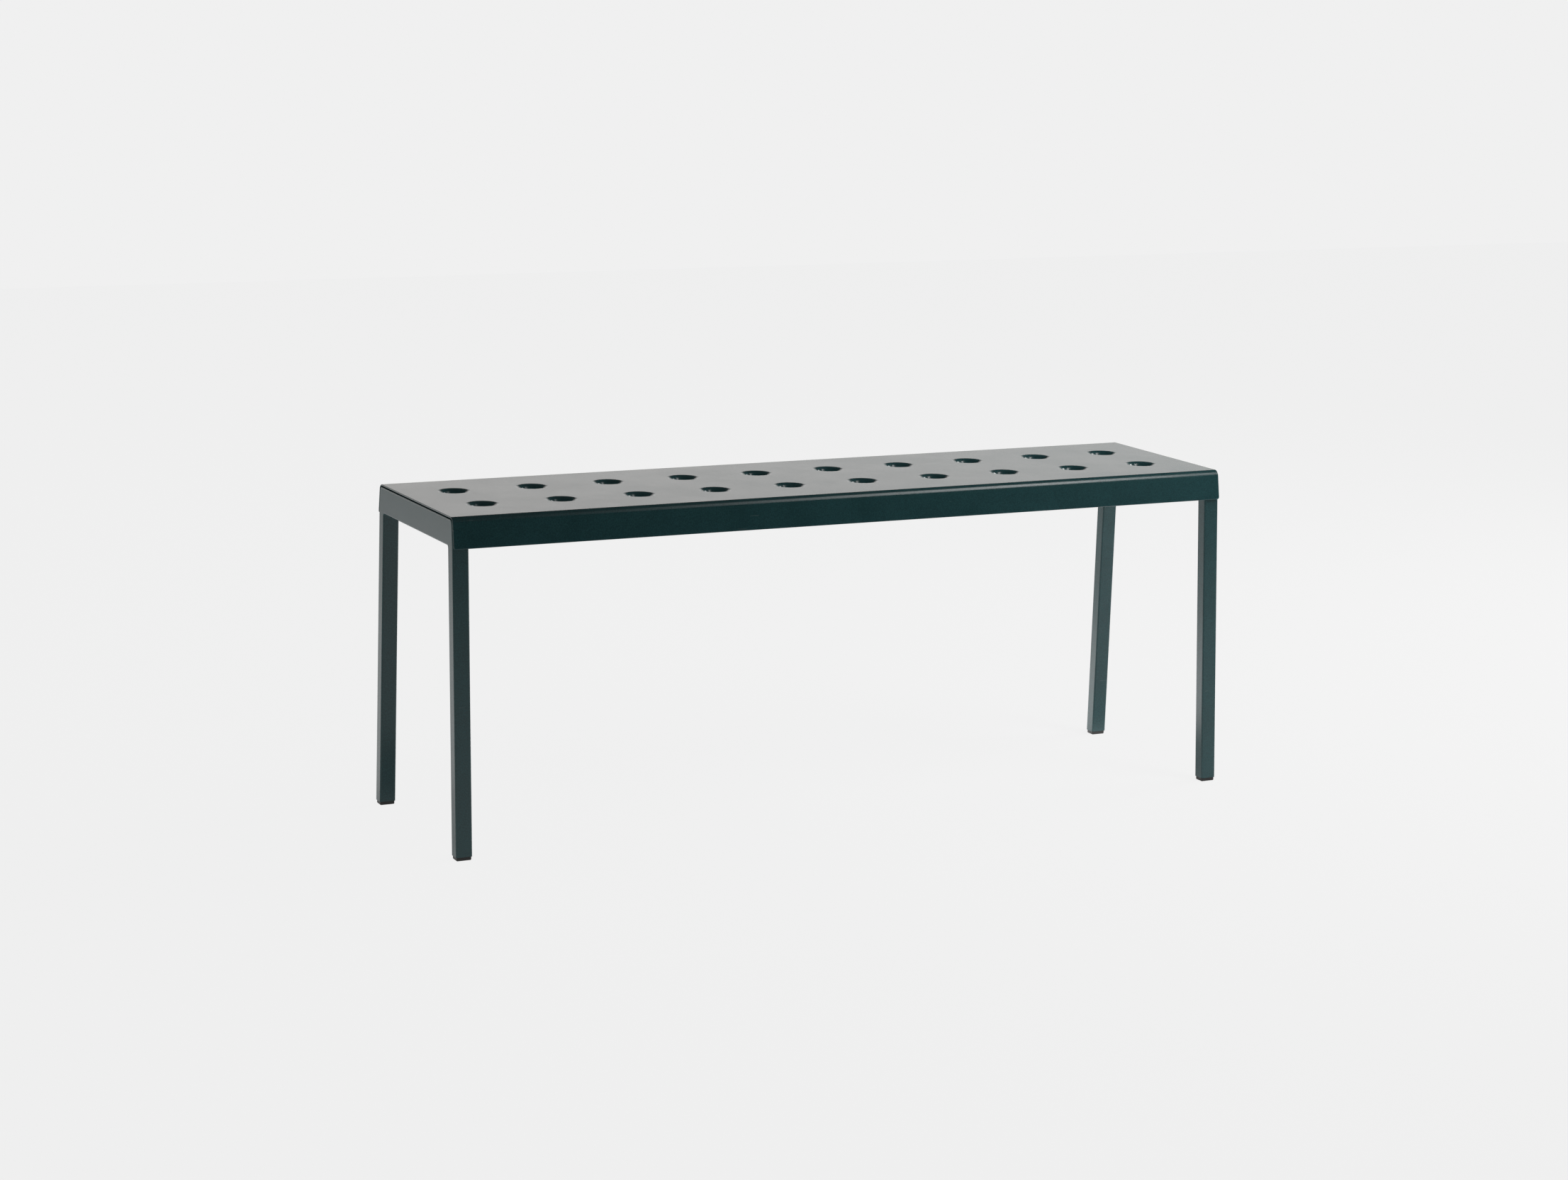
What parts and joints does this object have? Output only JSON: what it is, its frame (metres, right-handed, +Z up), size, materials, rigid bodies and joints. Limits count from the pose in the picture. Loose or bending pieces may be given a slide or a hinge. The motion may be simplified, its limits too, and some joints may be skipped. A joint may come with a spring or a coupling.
{
  "type": "backless bench",
  "caption": "Backless outdoor bench: a folded sheet seat with rows of drawn drain holes on two inverted-U end frames.",
  "frame": {"origin": "on the floor, below the middle of the bench", "axes": "+X along the bench towards its right end, +Y across it towards the rear, +Z up"},
  "size_m": [1.157, 0.3276, 0.45],
  "materials": {
    "powder_coat": "satin",
    "black_plastic": "matt",
    "black_rubber": "matt",
    "zinc_plate": "satin"
  },
  "bodies": {
    "root": {"seat_panel": "powder_coat", "centre_stiffener": "powder_coat", "end_rail_left": "powder_coat", "leg_front_left": "powder_coat", "fixing_tab_front_left": "powder_coat", "foot_front_left": "black_plastic", "leg_rear_left": "powder_coat", "fixing_tab_rear_left": "powder_coat", "foot_rear_left": "black_plastic", "weld_studs_left": "zinc_plate", "washers_left": "zinc_plate", "lock_nuts_left": "zinc_plate", "seat_pads_left": "black_rubber", "end_rail_right": "powder_coat", "leg_front_right": "powder_coat", "fixing_tab_front_right": "powder_coat", "foot_front_right": "black_plastic", "leg_rear_right": "powder_coat", "fixing_tab_rear_right": "powder_coat", "foot_rear_right": "black_plastic", "weld_studs_right": "zinc_plate", "washers_right": "zinc_plate", "lock_nuts_right": "zinc_plate", "seat_pads_right": "black_rubber"}
  },
  "joints": []
}
